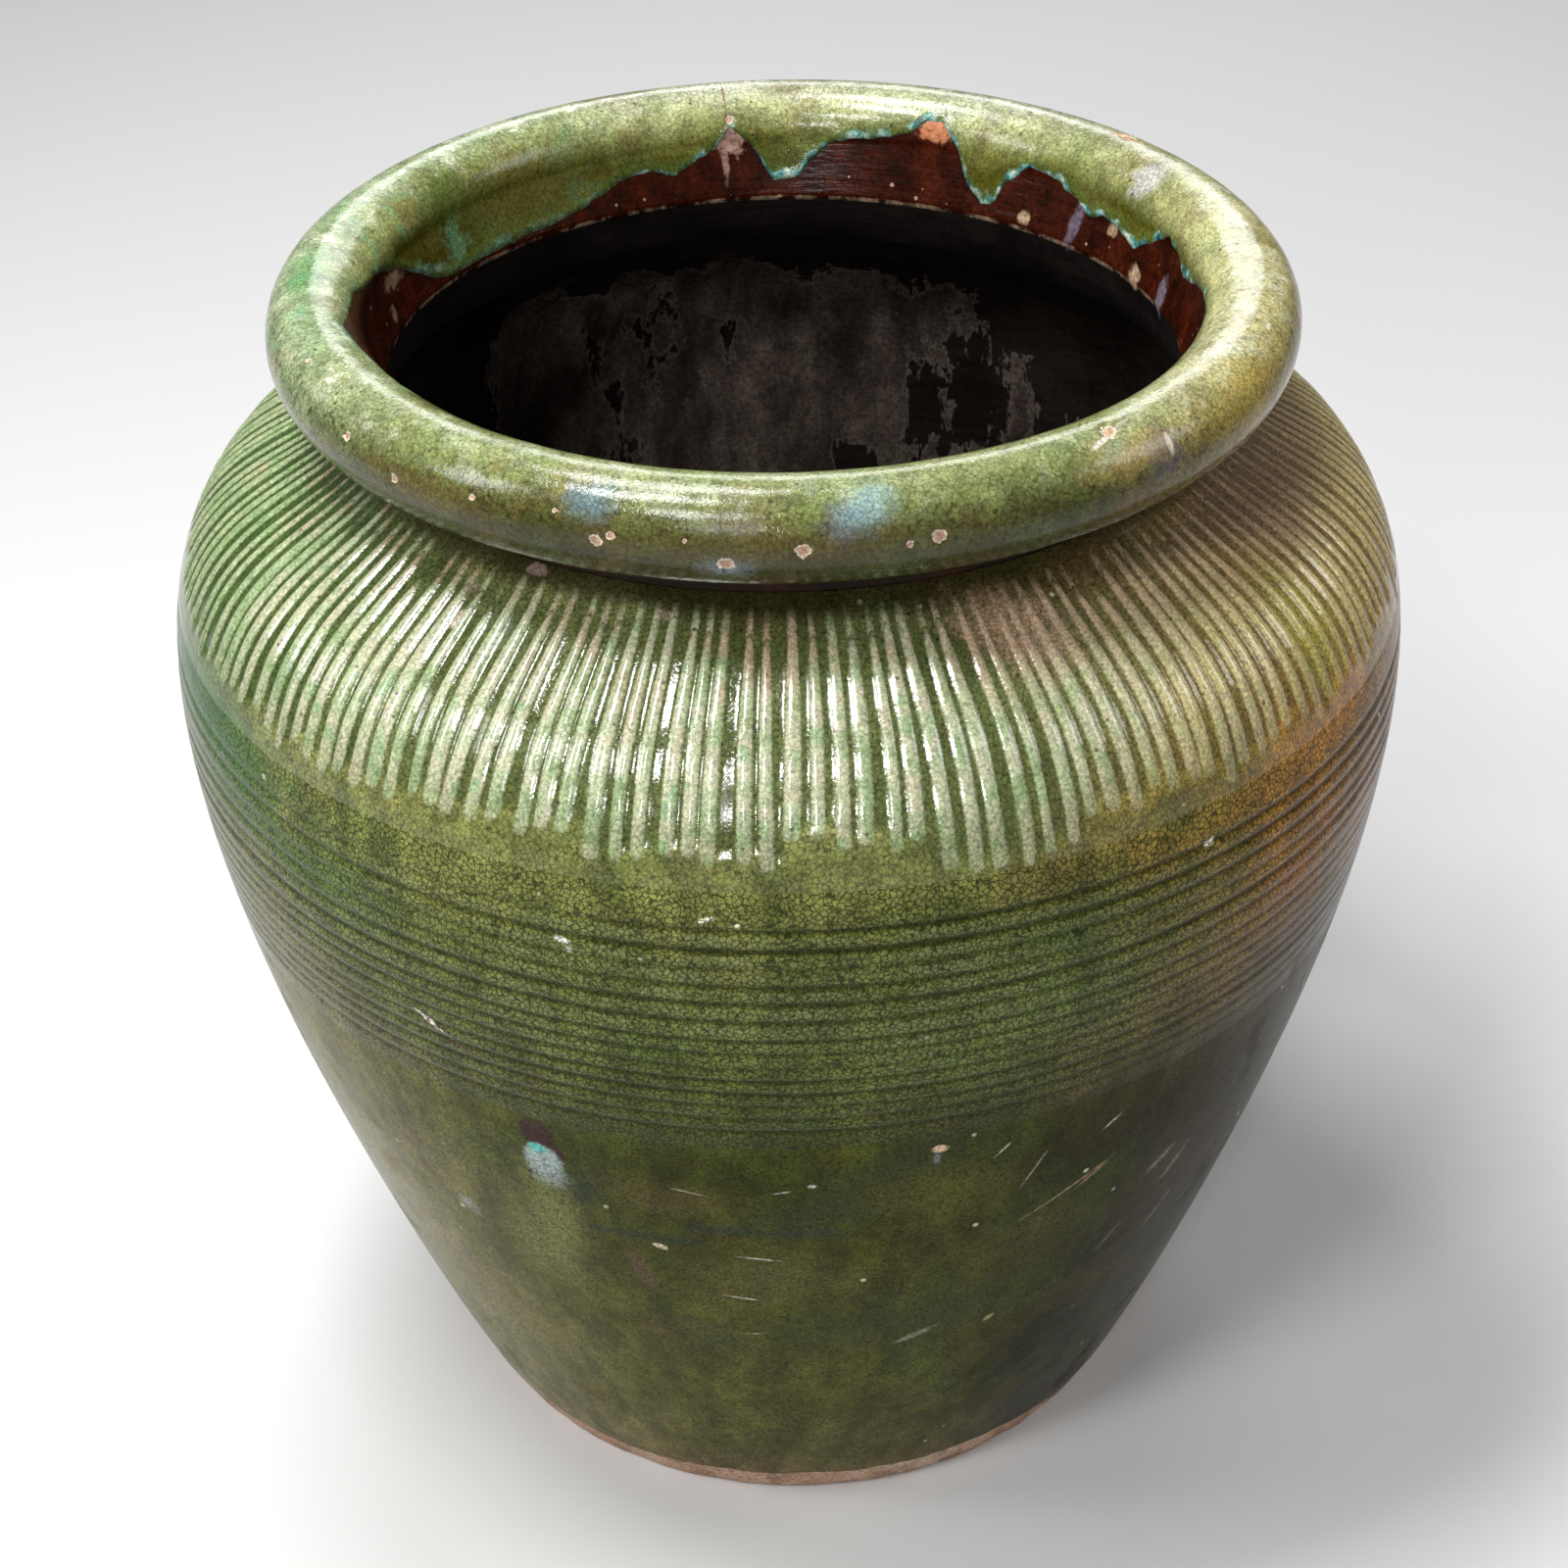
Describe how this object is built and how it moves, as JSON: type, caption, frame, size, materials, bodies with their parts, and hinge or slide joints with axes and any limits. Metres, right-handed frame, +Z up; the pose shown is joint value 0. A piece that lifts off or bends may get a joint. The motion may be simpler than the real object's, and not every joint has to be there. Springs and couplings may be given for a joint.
{
  "type": "martaban jar",
  "caption": "Wide-mouthed glazed stoneware storage jar with a rolled rim, combed shoulder, incised rings and a flat bare foot.",
  "frame": {"origin": "centre of the flat base, on the surface the jar stands on", "axes": "+Z up along the jar's axis; the jar is round, with the pictured side towards -Y"},
  "size_m": [0.56, 0.5598, 0.5769],
  "materials": {
    "clay": "bare fired stoneware clay, pinkish tan, matt",
    "luting_slip": "fired joint slip, matt",
    "green_glaze": "glossy olive-green lead glaze, crackled and blotchy",
    "brown_slip": "dark red-brown slip, glossy on the neck and matt below"
  },
  "bodies": {
    "root": {"base_disc": "clay", "lower_wall": "clay", "middle_wall": "clay", "belly_wall": "clay", "shoulder": "clay", "neck_collar": "clay", "rim_roll": "clay", "floor_fillet_coil": "clay", "base_luting": "luting_slip", "wall_luting": "luting_slip", "belly_luting": "luting_slip", "shoulder_luting": "luting_slip", "neck_luting": "luting_slip", "rim_luting": "luting_slip", "body_glaze": "green_glaze", "rim_glaze": "green_glaze", "inner_slip": "brown_slip"}
  },
  "joints": []
}
